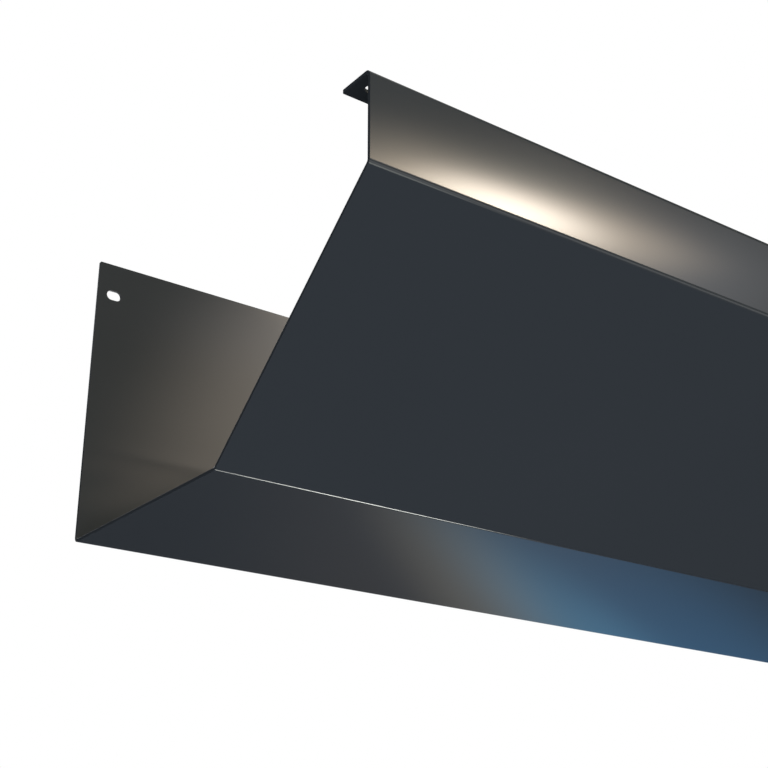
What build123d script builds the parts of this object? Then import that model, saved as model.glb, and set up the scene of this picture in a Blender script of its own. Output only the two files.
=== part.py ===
from build123d import *
from math import isclose
import os

# Gutter section: one length of coated sheet metal, press-folded to a box gutter with a sloping front.
# Frame: X along the gutter, Y from the fascia towards the back wall, Z up. The origin is at the
# centre of the length and of the depth, on the underside of the floor.

# Sheet
LENGTH = 3000.0              # one stock length of gutter
SHEET = 2.0                  # sheet thickness
BEND_INSIDE_R = 2.0          # inside radius of every fold
CORNER_R = 1.0               # deburred free corners of the sheet

# Section, measured over the outer faces and to the sharp corners of the folds
BACK_HEIGHT = 200.0          # back wall, which stands against the building
FLOOR_WIDTH = 177.5          # flat floor, from the back wall to the foot of the sloping front
DEPTH = 319.0                # whole gutter, from the back wall to the fascia
FRONT_HEIGHT = 177.5         # top of the front above the floor, lower than the back wall
FASCIA_HEIGHT = 55.0         # upright strip at the front
FLANGE_WIDTH = 25.0          # top of the fascia, turned back over the trough

# Fixing slots, a row in the back wall and a row in the return flange at the same stations
SLOT_LENGTH = 10.5           # overall, along the gutter
SLOT_WIDTH = 7.0
SLOT_STATIONS = 6            # along the length, the first and last close to the ends
SLOT_END_DISTANCE = 12.0     # from the sheet's end to the centre of the first slot
BACK_SLOT_DROP = 23.0        # from the top edge of the back wall to the slots' centre
FLANGE_SLOT_INSET = 12.0     # from the free edge of the flange to the slots' centre

# Places that follow from the sizes
BEND_OUTSIDE_R = BEND_INSIDE_R + SHEET
BACK_Y = DEPTH / 2
FASCIA_Y = BACK_Y - DEPTH
FLANGE_EDGE_Y = FASCIA_Y + FLANGE_WIDTH
SLOPE_FOOT_Y = BACK_Y - FLOOR_WIDTH
SLOPE_HEAD_Z = FRONT_HEIGHT - FASCIA_HEIGHT
SLOT_PITCH = (LENGTH - 2 * SLOT_END_DISTANCE) / (SLOT_STATIONS - 1)


def folded_sheet():
    """The sheet as it leaves the press brake, before it is slotted."""
    with BuildPart() as sheet:
        with BuildSketch(Plane.YZ):
            with BuildLine():
                FilletPolyline(
                    (BACK_Y, BACK_HEIGHT),
                    (BACK_Y, 0),
                    (SLOPE_FOOT_Y, 0),
                    (FASCIA_Y, SLOPE_HEAD_Z),
                    (FASCIA_Y, FRONT_HEIGHT),
                    (FLANGE_EDGE_Y, FRONT_HEIGHT),
                    radius=BEND_OUTSIDE_R,
                )
                offset(amount=SHEET, side=Side.LEFT)
            make_face()
        extrude(amount=LENGTH / 2, both=True)

        across_sheet = sheet.edges().filter_by(lambda edge: isclose(edge.length, SHEET, rel_tol=1e-6))
        back_corners = across_sheet.filter_by(Axis.Y).group_by(Axis.Z)[-1]
        flange_corners = across_sheet.filter_by(Axis.Z).group_by(Axis.Y)[-1]
        fillet(back_corners + flange_corners, CORNER_R)
    return sheet.part


def slot_row(face_plane):
    """Cutters for one row of slots along X, each well past both faces of the sheet."""
    with BuildPart() as cutters:
        with BuildSketch(face_plane):
            with GridLocations(SLOT_PITCH, 0, SLOT_STATIONS, 1):
                SlotOverall(SLOT_LENGTH, SLOT_WIDTH)
        extrude(amount=2 * SHEET, both=True)
    return cutters.part


back_face = Plane(
    origin=(0, BACK_Y, BACK_HEIGHT - BACK_SLOT_DROP), x_dir=(1, 0, 0), z_dir=(0, 1, 0)
)
flange_face = Plane(
    origin=(0, FLANGE_EDGE_Y - FLANGE_SLOT_INSET, FRONT_HEIGHT), x_dir=(1, 0, 0), z_dir=(0, 0, 1)
)

gutter_section = folded_sheet() - slot_row(back_face) - slot_row(flange_face)
gutter_section.label = "gutter_section"

os.makedirs("parts", exist_ok=True)
export_step(gutter_section, "parts/gutter_section.step")
print("gutter_section volume", round(gutter_section.volume), "mm3, valid", gutter_section.is_valid)
print("bounding box", gutter_section.bounding_box())
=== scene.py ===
"""A folded sheet-metal gutter section in a pale studio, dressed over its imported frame."""

import logging
import math
from dataclasses import dataclass, field
from enum import Enum

import bpy
from mathutils import Matrix, Vector


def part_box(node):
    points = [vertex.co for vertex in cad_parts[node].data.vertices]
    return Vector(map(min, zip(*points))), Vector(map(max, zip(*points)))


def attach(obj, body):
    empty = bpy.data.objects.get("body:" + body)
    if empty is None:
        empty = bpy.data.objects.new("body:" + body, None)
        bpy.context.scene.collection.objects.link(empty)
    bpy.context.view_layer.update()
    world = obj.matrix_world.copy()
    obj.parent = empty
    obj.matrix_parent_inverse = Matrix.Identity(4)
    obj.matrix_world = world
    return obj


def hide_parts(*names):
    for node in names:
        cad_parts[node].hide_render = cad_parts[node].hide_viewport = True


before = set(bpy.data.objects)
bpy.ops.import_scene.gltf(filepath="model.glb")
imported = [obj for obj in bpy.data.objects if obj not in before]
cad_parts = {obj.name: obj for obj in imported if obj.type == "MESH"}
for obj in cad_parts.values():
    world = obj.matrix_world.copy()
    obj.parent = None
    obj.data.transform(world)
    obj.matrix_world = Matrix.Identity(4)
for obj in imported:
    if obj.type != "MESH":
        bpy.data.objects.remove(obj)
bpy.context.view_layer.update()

MM = 0.001
NODE = "gutter_section"
BODY = "root"
IMAGE_SIZE = 768             # width and height of the photograph, in pixels
SENSOR_WIDTH = 36.0          # of the camera, in millimetres
LAMP_MIDDLE = (0.5, 0.5, 0)  # in the coordinates that run from 0 to 1 across a lamp
LAMP_RIM = 0.5               # distance from its middle to its rim, in the same coordinates

log = logging.getLogger("gutter")


class Ray(Enum):
    """The kinds of ray that the stage tells apart, named as the Light Path node names them."""

    CAMERA = "Is Camera Ray"
    DIFFUSE = "Is Diffuse Ray"
    GLOSSY = "Is Glossy Ray"
    TRANSMISSION = "Is Transmission Ray"


class SlottedWall(Enum):
    """The two walls that carry a row of fixing slots."""

    BACK = "back_wall"
    FLANGE = "return_flange"


def linear(hex_colour: str) -> tuple[float, float, float, float]:
    """Turns an sRGB hex colour into the linear colour that a shader takes.

    Args:
        hex_colour: six hex digits after a hash sign, such as "#383E42".

    Returns:
        Red, green, blue and an alpha of 1.
    """
    parts = [int(hex_colour[i:i + 2], 16) / 255 for i in (1, 3, 5)]
    red, green, blue = (
        p / 12.92 if p <= 0.04045 else ((p + 0.055) / 1.055) ** 2.4 for p in parts
    )
    return red, green, blue, 1.0


def add_node(tree: bpy.types.NodeTree, kind: str, settings: dict | None = None,
             links: dict | None = None) -> bpy.types.Node:
    """Adds one shader node with its settings and its links.

    Args:
        tree: the node tree that the node goes in.
        kind: the node's type, such as "ShaderNodeMath".
        settings: properties of the node by name, or default values of its inputs by name or number.
        links: for an input's name or number, the output socket that feeds it.

    Returns:
        The new node.
    """
    node = tree.nodes.new(kind)
    for name, value in (settings or {}).items():
        if isinstance(name, str) and hasattr(node, name):
            setattr(node, name, value)
        else:
            node.inputs[name].default_value = value
    for name, output in (links or {}).items():
        tree.links.new(output, node.inputs[name])
    return node


def empty_material(name: str) -> bpy.types.Material:
    """Makes a node material with nothing in its tree yet.

    Args:
        name: what the material is called.

    Returns:
        The material.
    """
    material = bpy.data.materials.new(name)
    material.use_nodes = True
    material.node_tree.nodes.clear()
    return material


def deselect_all() -> None:
    """Returns to object mode with nothing selected, so that an operator acts on its own piece."""
    if bpy.context.mode != "OBJECT":
        bpy.ops.object.mode_set(mode="OBJECT")
    bpy.ops.object.select_all(action="DESELECT")


def make_active(piece: bpy.types.Object) -> None:
    """Selects one piece alone and makes it active.

    Args:
        piece: the mesh object to work on next.
    """
    deselect_all()
    piece.select_set(True)
    bpy.context.view_layer.objects.active = piece


def apply_place(piece: bpy.types.Object) -> None:
    """Moves a piece's place, turn and scale into its mesh, so its object is at the origin."""
    make_active(piece)
    bpy.ops.object.transform_apply(location=True, rotation=True, scale=True)


def apply_modifier(piece: bpy.types.Object, kind: str, **settings: object) -> None:
    """Adds a modifier to a piece and applies it.

    Args:
        piece: the mesh object to shape.
        kind: the modifier's type, such as "SOLIDIFY".
        settings: the modifier's properties by name.
    """
    make_active(piece)
    modifier = piece.modifiers.new(kind.lower(), kind)
    for name, value in settings.items():
        setattr(modifier, name, value)
    bpy.ops.object.modifier_apply(modifier=modifier.name)


@dataclass(frozen=True)
class PowderCoat:
    """Satin polyester powder coat in anthracite grey over aluminium.

    Sprayed as dry powder and baked, it gives a closed, even skin with a soft sheen. Close up, it has
    the faint ripple called orange peel, and its sheen differs a little from place to place.
    """

    name: str = "anthracite_powder_coat"
    colour: str = "#31363C"
    colour_in_thick_film: str = "#2F343A"
    ior: float = 1.5             # polyester resin
    roughness: float = 0.08
    roughness_spread: float = 0.005
    peel_size: float = 2.2 * MM          # width of one ripple of the orange peel
    peel_height: float = 0.0006 * MM
    film_patch: float = 160 * MM         # patches in which the film is thicker or thinner

    def material(self) -> bpy.types.Material:
        """Builds the coat as a procedural material on Object coordinates.

        Returns:
            The material, ready for a piece.
        """
        material = empty_material(self.name)
        tree = material.node_tree
        place = add_node(tree, "ShaderNodeTexCoord").outputs["Object"]
        film = add_node(
            tree, "ShaderNodeTexNoise",
            {"Scale": 1 / self.film_patch, "Detail": 2.0, "Roughness": 0.5}, {"Vector": place},
        ).outputs["Fac"]
        peel = add_node(
            tree, "ShaderNodeTexNoise",
            {"Scale": 1 / self.peel_size, "Detail": 1.0, "Roughness": 0.4}, {"Vector": place},
        ).outputs["Fac"]
        colour = add_node(
            tree, "ShaderNodeMix",
            {"data_type": "RGBA", 6: linear(self.colour), 7: linear(self.colour_in_thick_film)},
            {0: film},
        ).outputs[2]         # of a Mix node, sockets 6 and 7 and output 2 are the colours
        sheen = add_node(
            tree, "ShaderNodeMapRange",
            {"To Min": self.roughness - self.roughness_spread,
             "To Max": self.roughness + self.roughness_spread},
            {"Value": film},
        ).outputs["Result"]
        ripple = add_node(
            tree, "ShaderNodeBump", {"Strength": 1.0, "Distance": self.peel_height},
            {"Height": peel},
        ).outputs["Normal"]
        coat = add_node(
            tree, "ShaderNodeBsdfPrincipled", {"Metallic": 0.0, "IOR": self.ior},
            {"Base Color": colour, "Roughness": sheen, "Normal": ripple},
        )
        add_node(tree, "ShaderNodeOutputMaterial", links={"Surface": coat.outputs["BSDF"]})
        return material


@dataclass
class GutterSection:
    """The gutter: one sheet folded to a back wall, a floor, a sloping front, a fascia and a flange.

    Its overall sizes come from the frame. The rest are the real sizes of the section, measured over
    the outer faces and to the sharp corners of the folds.
    """

    length: float
    depth: float
    back_height: float
    sheet: float = 2.0 * MM
    bend_inside_radius: float = 2.0 * MM
    bend_segments: int = 12
    corner_radius: float = 1.0 * MM
    corner_segments: int = 5
    floor_width: float = 177.5 * MM
    front_height: float = 177.5 * MM
    fascia_height: float = 55.0 * MM
    flange_width: float = 25.0 * MM
    slot_length: float = 10.5 * MM
    slot_width: float = 7.0 * MM
    slot_corner_segments: int = 12       # in each quarter of a slot's two round ends
    slot_stations: int = 6
    slot_end_distance: float = 12.0 * MM
    back_slot_drop: float = 23.0 * MM
    flange_slot_inset: float = 12.0 * MM
    cutter_reach: float = 12.0 * MM      # depth of a slot's cutter, half on each side of the face
    edge_softness: float = 0.15 * MM     # the coat rounds every cut edge a little
    edge_segments: int = 2
    cut_edge_angle: float = 50.0         # degrees: a sharper edge than this is rounded
    smooth_angle: float = 35.0           # degrees: a flatter edge than this is shaded smooth
    tolerance: float = 0.2 * MM          # within which a vertex counts as being at a place
    merge_distance: float = 0.002 * MM
    coat: PowderCoat = field(default_factory=PowderCoat)

    def __post_init__(self) -> None:
        """Works out the places of the folds from the sizes."""
        self.back_y = self.depth / 2
        self.fascia_y = self.back_y - self.depth
        self.foot_y = self.back_y - self.floor_width
        self.flange_edge_y = self.fascia_y + self.flange_width
        self.slope_head_z = self.front_height - self.fascia_height
        self.slope_angle = math.atan2(self.slope_head_z, self.foot_y - self.fascia_y)

    def flat_sheet(self) -> bpy.types.Object:
        """Draws the sheet's outer face with sharp folds, out of a plane for the floor.

        Returns:
            The open sheet, with its place in its mesh.
        """
        deselect_all()
        middle_y = self.back_y - self.floor_width / 2
        bpy.ops.mesh.primitive_plane_add(size=1, location=(0, middle_y, 0))
        piece = bpy.context.object
        piece.name = "gutter_sheet"
        piece.data.name = piece.name
        piece.scale = (self.length, self.floor_width, 1)
        apply_place(piece)

        self.select_edges(piece, y=self.back_y, z=0)
        self.extrude((0, 0, self.back_height))
        self.select_edges(piece, y=self.foot_y, z=0)
        self.extrude((0, self.fascia_y - self.foot_y, self.slope_head_z))
        self.extrude((0, 0, self.fascia_height))
        self.extrude((0, self.flange_width, 0))
        bpy.ops.mesh.select_all(action="SELECT")
        bpy.ops.mesh.normals_make_consistent(inside=False)
        bpy.ops.object.mode_set(mode="OBJECT")
        return piece

    def extrude(self, step: tuple[float, float, float]) -> None:
        """Pulls the selected edge out by a step, which leaves the new edge selected."""
        bpy.ops.mesh.extrude_region_move(TRANSFORM_OT_translate={"value": step})

    def select_edges(self, piece: bpy.types.Object, y: float, z: float) -> None:
        """Enters edit mode with only the edge along X at one place of the section selected.

        Args:
            piece: the sheet.
            y: the edge's place across the gutter.
            z: its height.
        """
        make_active(piece)
        bpy.ops.object.mode_set(mode="EDIT")
        bpy.ops.mesh.select_mode(type="EDGE")
        bpy.ops.mesh.select_all(action="DESELECT")
        bpy.ops.object.mode_set(mode="OBJECT")
        vertices = piece.data.vertices
        for edge in piece.data.edges:
            ends = [vertices[i].co for i in edge.vertices]
            edge.select = all(math.dist(end.yz, (y, z)) < self.tolerance for end in ends)
        bpy.ops.object.mode_set(mode="EDIT")

    def round_corners(self, piece: bpy.types.Object) -> None:
        """Rounds the sheet's four free corners, at both ends of the back wall and of the flange.

        Args:
            piece: the open sheet.
        """
        free_edges = (
            (self.back_y, self.back_height),
            (self.flange_edge_y, self.front_height),
        )
        for y, z in free_edges:
            self.select_edges(piece, y, z)
            bpy.ops.mesh.select_mode(type="VERT")
            bpy.ops.mesh.bevel(
                offset=self.corner_radius, segments=self.corner_segments, affect="VERTICES"
            )
            bpy.ops.object.mode_set(mode="OBJECT")

    def fold(self, piece: bpy.types.Object) -> None:
        """Gives each fold its outside radius: a bevel that starts a tangent's length from it.

        Args:
            piece: the open sheet.
        """
        outside_radius = self.bend_inside_radius + self.sheet
        square = math.pi / 2
        folds = (
            (self.back_y, 0.0, square),
            (self.foot_y, 0.0, self.slope_angle),
            (self.fascia_y, self.slope_head_z, square - self.slope_angle),
            (self.fascia_y, self.front_height, square),
        )
        for y, z, turn in folds:
            self.select_edges(piece, y, z)
            bpy.ops.mesh.bevel(
                offset=outside_radius * math.tan(turn / 2), segments=self.bend_segments,
                affect="EDGES",
            )
            bpy.ops.object.mode_set(mode="OBJECT")

    def slot_cutters(self, wall: SlottedWall) -> bpy.types.Object:
        """Makes the cutters of one row of slots: a block with its corners rounded, then repeated.

        Args:
            wall: the wall that the row goes through.

        Returns:
            One object that holds the whole row of cutters.
        """
        pitch = (self.length - 2 * self.slot_end_distance) / (self.slot_stations - 1)
        first_x = self.slot_end_distance - self.length / 2
        if wall is SlottedWall.BACK:
            place = (first_x, self.back_y, self.back_height - self.back_slot_drop)
            size = (self.slot_length, self.cutter_reach, self.slot_width)
            through = 1
        else:
            place = (first_x, self.flange_edge_y - self.flange_slot_inset, self.front_height)
            size = (self.slot_length, self.slot_width, self.cutter_reach)
            through = 2
        deselect_all()
        bpy.ops.mesh.primitive_cube_add(size=1, location=place)
        cutter = bpy.context.object
        cutter.name = f"slots_{wall.value}"
        cutter.scale = size
        apply_place(cutter)
        vertices = cutter.data.vertices
        for edge in cutter.data.edges:
            start, end = (vertices[i].co for i in edge.vertices)
            edge.select = abs(start[through] - end[through]) > self.cutter_reach / 2
        bpy.ops.object.mode_set(mode="EDIT")
        bpy.ops.mesh.select_mode(type="EDGE")
        bpy.ops.mesh.bevel(
            offset=self.slot_width / 2, segments=self.slot_corner_segments, affect="EDGES"
        )
        bpy.ops.mesh.select_all(action="SELECT")
        bpy.ops.mesh.remove_doubles(threshold=self.merge_distance)
        bpy.ops.mesh.normals_make_consistent(inside=False)
        bpy.ops.object.mode_set(mode="OBJECT")
        apply_modifier(
            cutter, "ARRAY", count=self.slot_stations, use_relative_offset=False,
            use_constant_offset=True, constant_offset_displace=(pitch, 0, 0),
        )
        return cutter

    def cut_slots(self, piece: bpy.types.Object) -> None:
        """Cuts both rows of slots through the sheet and throws the cutters away.

        Args:
            piece: the folded sheet, with its thickness.
        """
        for wall in SlottedWall:
            cutter = self.slot_cutters(wall)
            apply_modifier(
                piece, "BOOLEAN", operation="DIFFERENCE", solver="EXACT", object=cutter
            )
            bpy.data.objects.remove(cutter)

    def build(self) -> bpy.types.Object:
        """Models the whole section.

        Returns:
            The finished mesh, at the origin, without its material.
        """
        piece = self.flat_sheet()
        self.round_corners(piece)
        self.fold(piece)
        apply_modifier(
            piece, "SOLIDIFY", thickness=self.sheet, offset=-1, use_even_offset=True,
            use_quality_normals=True,
        )
        self.cut_slots(piece)
        apply_modifier(
            piece, "BEVEL", width=self.edge_softness, segments=self.edge_segments,
            limit_method="ANGLE", angle_limit=math.radians(self.cut_edge_angle),
        )
        make_active(piece)
        bpy.ops.object.shade_smooth_by_angle(angle=math.radians(self.smooth_angle))
        apply_modifier(piece, "WEIGHTED_NORMAL", mode="FACE_AREA", weight=100, keep_sharp=True)
        return piece

    def dress(self, piece: bpy.types.Object) -> None:
        """Coats the sheet and ties it to the frame.

        Args:
            piece: the finished mesh.
        """
        piece.data.materials.clear()
        piece.data.materials.append(self.coat.material())
        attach(piece, BODY)
        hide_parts(NODE)


def direction(azimuth: float, elevation: float) -> Vector:
    """Gives a unit vector by its angles in degrees.

    Args:
        azimuth: from +X towards +Y.
        elevation: above the horizon.

    Returns:
        The vector.
    """
    azimuth, elevation = math.radians(azimuth), math.radians(elevation)
    level = math.cos(elevation)
    return Vector((level * math.cos(azimuth), level * math.sin(azimuth), math.sin(elevation)))


def all_but(left_out: bpy.types.Object) -> bpy.types.Collection:
    """Makes the collection that ties a lamp to everything except one object.

    Args:
        left_out: the object that the lamp passes over.

    Returns:
        The collection, for the lamp's light linking.
    """
    linked = bpy.data.collections.new(f"all_but_{left_out.name}")
    linked.objects.link(left_out)
    linked.collection_objects[0].light_linking.link_state = "EXCLUDE"
    return linked


@dataclass(frozen=True)
class Softbox:
    """One studio lamp behind a diffuser, brightest in its middle and fading to its rim.

    It hangs at a distance from the gutter's near end and faces it, and the camera doesn't see it.
    """

    name: str
    azimuth: float               # degrees from +X towards +Y, as seen from the near end
    elevation: float             # degrees above the horizon
    width: float
    height: float
    brightness: float            # in the middle, where 1 is the white of the background
    colour: str
    tilt: float = 0.0            # degrees, anticlockwise as the lamp looks
    distance: float = 5.0
    mirrored: bool = True        # whether the coat's sheen shows the lamp
    casts_shadow: bool = True    # whether the gutter stops the lamp's light
    lights_floor: bool = False

    def light(self, aim: Vector, no_floor: bpy.types.Collection,
              no_gutter: bpy.types.Collection) -> bpy.types.Object:
        """Hangs the lamp in its place, turned towards what it lights.

        A lamp of brightness 1 gives off pi watts for each square metre.

        Args:
            aim: the point that the lamp faces.
            no_floor: all but the floor, for a lamp that leaves the floor unlit.
            no_gutter: all but the gutter, for a lamp whose light the gutter doesn't stop.

        Returns:
            The light object.
        """
        lamp = bpy.data.lights.new(self.name, "AREA")
        lamp.shape = "RECTANGLE"
        lamp.size, lamp.size_y = self.width, self.height
        lamp.energy = self.brightness * math.pi * self.width * self.height
        lamp.color = linear(self.colour)[:3]
        self.fade(lamp)
        stand = bpy.data.objects.new(self.name, lamp)
        bpy.context.scene.collection.objects.link(stand)
        outwards = direction(self.azimuth, self.elevation)
        turn = (-outwards).to_track_quat("-Z", "Y").to_matrix().to_4x4()
        tilt = Matrix.Rotation(math.radians(self.tilt), 4, "Z")
        stand.matrix_world = Matrix.Translation(aim + self.distance * outwards) @ turn @ tilt
        stand.visible_camera = False
        stand.visible_glossy = self.mirrored
        if not self.lights_floor:
            stand.light_linking.receiver_collection = no_floor
        if not self.casts_shadow:
            stand.light_linking.blocker_collection = no_gutter
        return stand

    def fade(self, lamp: bpy.types.Light) -> None:
        """Lets the diffuser fade from its middle to its rim, so that no hard edge is reflected.

        Args:
            lamp: the lamp's light data.
        """
        lamp.use_nodes = True
        tree = lamp.node_tree
        tree.nodes.clear()
        place = add_node(tree, "ShaderNodeNewGeometry").outputs["Parametric"]
        centred = add_node(
            tree, "ShaderNodeVectorMath", {"operation": "SUBTRACT", 1: LAMP_MIDDLE}, {0: place}
        )
        radius = add_node(
            tree, "ShaderNodeVectorMath", {"operation": "LENGTH"}, {0: centred.outputs[0]}
        )
        glow = add_node(
            tree, "ShaderNodeMapRange",
            {"interpolation_type": "SMOOTHERSTEP", "From Min": LAMP_RIM, "From Max": 0.0},
            {"Value": radius.outputs["Value"]},
        )
        diffuser = add_node(
            tree, "ShaderNodeEmission", links={"Strength": glow.outputs["Result"]}
        )
        add_node(tree, "ShaderNodeOutputLight", links={"Surface": diffuser.outputs[0]})


@dataclass(frozen=True)
class Studio:
    """A pale floor, a white background, soft light all round, and softboxes in front and behind.

    The photograph looks up at the gutter from below the surface that it stands on, so the floor shows
    from above only. The room is bright enough that the coat shows its own colour, and its walls are
    dark where the coat mirrors them, as in the photograph, apart from the white backdrop behind the
    gutter.
    """

    floor_half_size: float = 30.0
    floor_drop: float = 0.2 * MM         # below the gutter's underside, so the two don't flicker
    floor_colour: str = "#E6E6E4"
    floor_glow: float = 0.22             # of the floor's own, where 1 is the floor's colour
    floor_fade: tuple[float, float] = (2.5, 7.0)         # metres out, from full to gone
    bare_strip_y: float = -0.1           # middle of the strip of floor that the sheen leaves out
    bare_strip_reach: tuple[float, float] = (0.28, 0.45)   # metres from it, from none to full
    room_colour: str = "#FFFFFF"
    room_level: float = 0.796            # for the matt share of a surface
    room_lean: tuple[float, float, float] = (0.42, -0.081, -0.156)   # towards its lighter side
    mirrored_level: float = 0.012        # of the walls, for a surface's sheen
    backdrop_azimuth: float = 53.6       # the middle of the white backdrop, as the camera looks
    backdrop_elevation: float = 22.4
    backdrop_reach: tuple[float, float] = (34.0, 24.0)   # degrees off, from none to full white
    aim: tuple[float, float, float] = (-1.35, -0.05, 0.1)   # near end, which the lamps face
    softboxes: tuple[Softbox, ...] = (   # name, azimuth, elevation, width, height, brightness, colour
        Softbox("key", -49.1, 29.7, 1.21, 0.19, 19.7, "#FFF5E7", tilt=-21.3),
        Softbox("key_glow", -52.6, 28.7, 1.76, 0.79, 7.2, "#FFECD1", tilt=-33.1),
        Softbox("key_spill", -47.4, 26.3, 3.43, 1.05, 1.4, "#F8F8FF", tilt=-5.6),
        Softbox("front_left", -54.3, 22.7, 1.84, 2.85, 2.85, "#FFEFDC", tilt=-56.9),
        Softbox("front_left_low", -63.2, 17.89, 1.15, 0.26, 0.86, "#FFEDD7", tilt=11.2,
                casts_shadow=False),
        Softbox("front_left_strip", -63.4, 18.78, 1.15, 0.14, 1.21, "#FFEDDC", tilt=-7.0,
                casts_shadow=False),
        Softbox("front_right", -48.8, 29.3, 2.17, 0.35, 7.9, "#FFE8C9", tilt=-16.7),
        Softbox("front_high", -90.0, 43.0, 4.0, 4.0, 16.5, "#FFE1A5", mirrored=False,
                casts_shadow=False),
        Softbox("front_low", -58.5, -31.0, 1.84, 3.30, 2.9, "#FCFFF6"),
        Softbox("back_low", 36.0, -50.0, 0.80, 2.80, 21.0, "#FEFFF8"),
        Softbox("back_blue", 42.5, -10.2, 0.53, 3.42, 0.30, "#86D9FF", tilt=47.1),
        Softbox("back_blue_wide", 39.7, -10.7, 4.50, 1.43, 0.36, "#65BAFF", tilt=-40.2),
        Softbox("back_tan", 49.7, -14.4, 0.61, 2.30, 0.18, "#FFE49F", tilt=40.0),
        Softbox("back_haze", 48.0, -23.2, 2.84, 4.44, 0.08, "#FFEDE1", tilt=-34.3),
        Softbox("rear", 95.0, 25.0, 4.5, 2.4, 1.5, "#F4F8FF"),
        Softbox("rear_high", 90.0, 40.0, 5.0, 5.0, 8.4, "#FFFFFF", mirrored=False),
        Softbox("overhead", -60.0, 80.0, 6.0, 3.0, 1.6, "#FFFFFF", distance=4.0,
                lights_floor=True),
    )

    def floor(self) -> bpy.types.Object:
        """Lays the floor.

        Returns:
            The floor.
        """
        deselect_all()
        bpy.ops.mesh.primitive_plane_add(
            size=2 * self.floor_half_size, location=(0, 0, -self.floor_drop)
        )
        floor = bpy.context.object
        floor.name = "studio_floor"
        floor.data.materials.append(self.floor_material())
        return floor

    def floor_material(self) -> bpy.types.Material:
        """Builds a matt pale paint on the floor's upper side, which fades into the background.

        From below there is nothing to see.

        Returns:
            The material.
        """
        material = empty_material("pale_floor_paint")
        tree = material.node_tree
        colour = linear(self.floor_colour)
        paint = add_node(tree, "ShaderNodeBsdfDiffuse", {"Color": colour})
        glow = add_node(
            tree, "ShaderNodeEmission", {"Color": colour, "Strength": self.floor_glow}
        )
        lit = add_node(
            tree, "ShaderNodeAddShader", links={0: paint.outputs[0], 1: glow.outputs[0]}
        )
        clear = add_node(tree, "ShaderNodeBsdfTransparent")
        mixed = add_node(
            tree, "ShaderNodeMixShader",
            links={0: self.floor_seen(tree), 1: clear.outputs[0], 2: lit.outputs[0]},
        )
        add_node(tree, "ShaderNodeOutputMaterial", links={"Surface": mixed.outputs[0]})
        return material

    def floor_seen(self, tree: bpy.types.NodeTree) -> bpy.types.NodeSocket:
        """Works out how much of the floor a ray sees.

        The camera sees it from above, near the gutter. The coat's sheen mirrors it from a little
        beside the gutter on, because the photograph's sloping front mirrors no floor under it.

        Args:
            tree: the floor material's node tree.

        Returns:
            A value from 0, nothing, to 1, the paint.
        """
        rays = add_node(tree, "ShaderNodeLightPath").outputs
        below = add_node(tree, "ShaderNodeNewGeometry").outputs["Backfacing"]
        place = add_node(tree, "ShaderNodeTexCoord").outputs["Object"]
        across = add_node(tree, "ShaderNodeSeparateXYZ", links={0: place}).outputs["Y"]
        aside = add_node(
            tree, "ShaderNodeMath", {"operation": "SUBTRACT", 1: self.bare_strip_y}, {0: across}
        )
        beside = add_node(
            tree, "ShaderNodeMath", {"operation": "ABSOLUTE"}, {0: aside.outputs[0]}
        )
        near, far = self.bare_strip_reach
        mirrored = add_node(
            tree, "ShaderNodeMapRange",
            {"interpolation_type": "SMOOTHSTEP", "From Min": near, "From Max": far},
            {"Value": beside.outputs[0]},
        )
        seen = add_node(
            tree, "ShaderNodeMath", {"operation": "MULTIPLY_ADD"},
            {0: rays[Ray.GLOSSY.value], 1: mirrored.outputs["Result"], 2: rays[Ray.CAMERA.value]},
        )
        above = add_node(
            tree, "ShaderNodeMath", {"operation": "SUBTRACT", "use_clamp": True},
            {0: seen.outputs[0], 1: below},
        )
        reach = add_node(tree, "ShaderNodeVectorMath", {"operation": "LENGTH"}, {0: place})
        near, far = self.floor_fade
        left = add_node(
            tree, "ShaderNodeMapRange",
            {"interpolation_type": "SMOOTHSTEP", "From Min": far, "From Max": near},
            {"Value": reach.outputs["Value"]},
        )
        return add_node(
            tree, "ShaderNodeMath", {"operation": "MULTIPLY"},
            {0: above.outputs[0], 1: left.outputs["Result"]},
        ).outputs[0]

    def backdrop(self, tree: bpy.types.NodeTree,
                 ray: bpy.types.NodeSocket) -> bpy.types.NodeSocket:
        """Works out whether a ray that leaves the scene meets the backdrop.

        Args:
            tree: the world's node tree.
            ray: the ray's direction.

        Returns:
            A value that is 1 on the backdrop and 0 beside it.
        """
        outer, inner = (math.cos(math.radians(angle)) for angle in self.backdrop_reach)
        middle = direction(self.backdrop_azimuth, self.backdrop_elevation)
        along = add_node(
            tree, "ShaderNodeVectorMath", {"operation": "DOT_PRODUCT", 1: middle}, {0: ray}
        )
        return add_node(
            tree, "ShaderNodeMapRange",
            {"interpolation_type": "SMOOTHSTEP", "From Min": outer, "From Max": inner},
            {"Value": along.outputs["Value"]},
        ).outputs["Result"]

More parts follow.
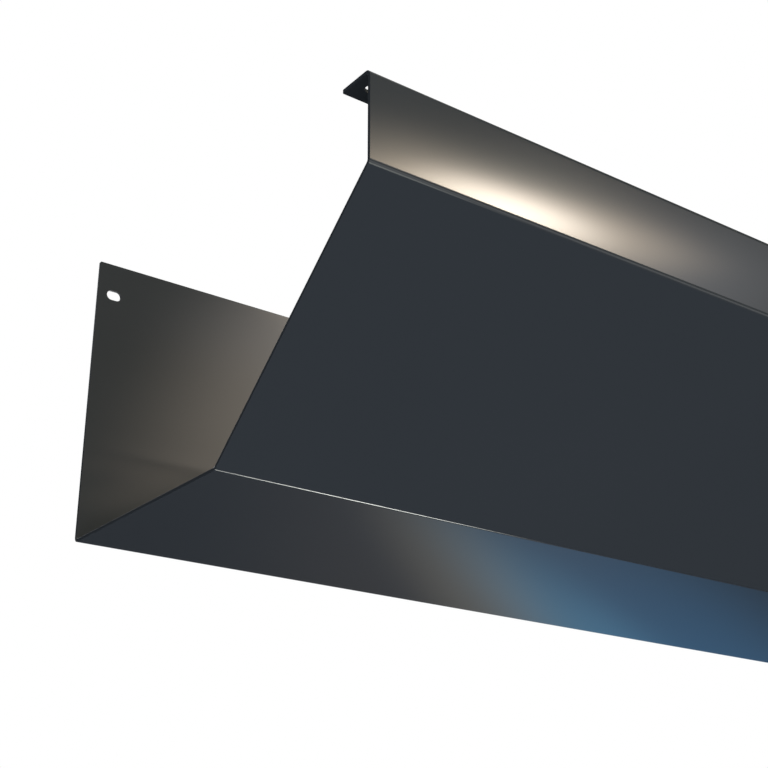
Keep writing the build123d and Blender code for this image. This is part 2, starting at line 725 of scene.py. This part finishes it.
    def room(self) -> None:
        """Sets the world.

        It is white all round for the camera, and on the backdrop for reflections and for rays that
        pass through glass. Elsewhere it is a soft light that is stronger from one side, and dark
        walls to the coat's sheen.
        """
        world = bpy.data.worlds.new("white_room")
        bpy.context.scene.world = world
        world.cycles.sampling_method = "NONE"    # it isn't a lamp: each kind of ray sees another
        world.use_nodes = True
        tree = world.node_tree
        tree.nodes.clear()
        rays = add_node(tree, "ShaderNodeLightPath").outputs
        ray = add_node(tree, "ShaderNodeTexCoord").outputs["Generated"]
        mirrored = add_node(
            tree, "ShaderNodeMath", {"operation": "ADD"},
            {0: rays[Ray.GLOSSY.value], 1: rays[Ray.TRANSMISSION.value]},
        )
        shown = add_node(
            tree, "ShaderNodeMath", {"operation": "MULTIPLY_ADD", "use_clamp": True},
            {0: mirrored.outputs[0], 1: self.backdrop(tree, ray), 2: rays[Ray.CAMERA.value]},
        )
        lean = add_node(
            tree, "ShaderNodeVectorMath",
            {"operation": "DOT_PRODUCT", 1: self.room_lean}, {0: ray},
        )
        lit = add_node(
            tree, "ShaderNodeMath", {"operation": "ADD", 1: self.room_level},
            {0: lean.outputs["Value"]},
        )
        level = add_node(
            tree, "ShaderNodeMapRange", {"To Min": self.mirrored_level},
            {"Value": rays[Ray.DIFFUSE.value], "To Max": lit.outputs[0]},
        )
        background = add_node(
            tree, "ShaderNodeBackground", {"Color": (1, 1, 1, 1), "Strength": 1.0}
        )
        walls = add_node(
            tree, "ShaderNodeBackground", {"Color": linear(self.room_colour)},
            {"Strength": level.outputs["Result"]},
        )
        mixed = add_node(
            tree, "ShaderNodeMixShader",
            links={0: shown.outputs[0], 1: walls.outputs[0], 2: background.outputs[0]},
        )
        add_node(tree, "ShaderNodeOutputWorld", links={"Surface": mixed.outputs[0]})

    def build(self, gutter: bpy.types.Object) -> None:
        """Builds the floor, the room and the lamps round the gutter.

        Args:
            gutter: the finished mesh, which some of the lamps shine through.
        """
        no_floor = all_but(self.floor())
        no_gutter = all_but(gutter)
        self.room()
        for softbox in self.softboxes:
            softbox.light(Vector(self.aim), no_floor, no_gutter)


@dataclass(frozen=True)
class PhotoCamera:
    """The photograph's camera: below the gutter's near end, looking up at its sloping front."""

    place: tuple[float, float, float] = (-1.8374, -0.6293, -0.2353)
    heading: float = 53.619      # degrees from +X towards +Y
    pitch: float = 22.411        # degrees above the horizon
    focal_length: float = 1360.1  # in pixels of the photograph

    def build(self) -> bpy.types.Object:
        """Sets the camera up and makes it the scene's own.

        Returns:
            The camera object.
        """
        lens = bpy.data.cameras.new("photo_camera")
        lens.sensor_width = SENSOR_WIDTH
        lens.lens = SENSOR_WIDTH * self.focal_length / IMAGE_SIZE
        lens.clip_start, lens.clip_end = 0.01, 200.0
        camera = bpy.data.objects.new("photo_camera", lens)
        bpy.context.scene.collection.objects.link(camera)
        camera.location = self.place
        camera.rotation_euler = (
            math.radians(90 + self.pitch), 0, math.radians(self.heading - 90)
        )
        bpy.context.scene.camera = camera
        return camera


def gutter_from_frame() -> GutterSection:
    """Takes the gutter's overall sizes from the frame."""
    low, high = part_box(NODE)
    return GutterSection(
        length=high.x - low.x, depth=high.y - low.y, back_height=high.z - low.z
    )


def main() -> None:
    """Builds the gutter, the studio and the camera, and reports each piece."""
    logging.basicConfig(level=logging.INFO, format="%(name)s: %(message)s")
    gutter = gutter_from_frame()
    sheet = gutter.build()
    gutter.dress(sheet)
    log.info("%s has %d faces", sheet.name, len(sheet.data.polygons))

    studio = Studio()
    studio.build(sheet)
    log.info("studio has %d softboxes", len(studio.softboxes))

    PhotoCamera().build()
    bpy.context.scene.view_settings.view_transform = "Standard"


if __name__ == "__main__":
    main()
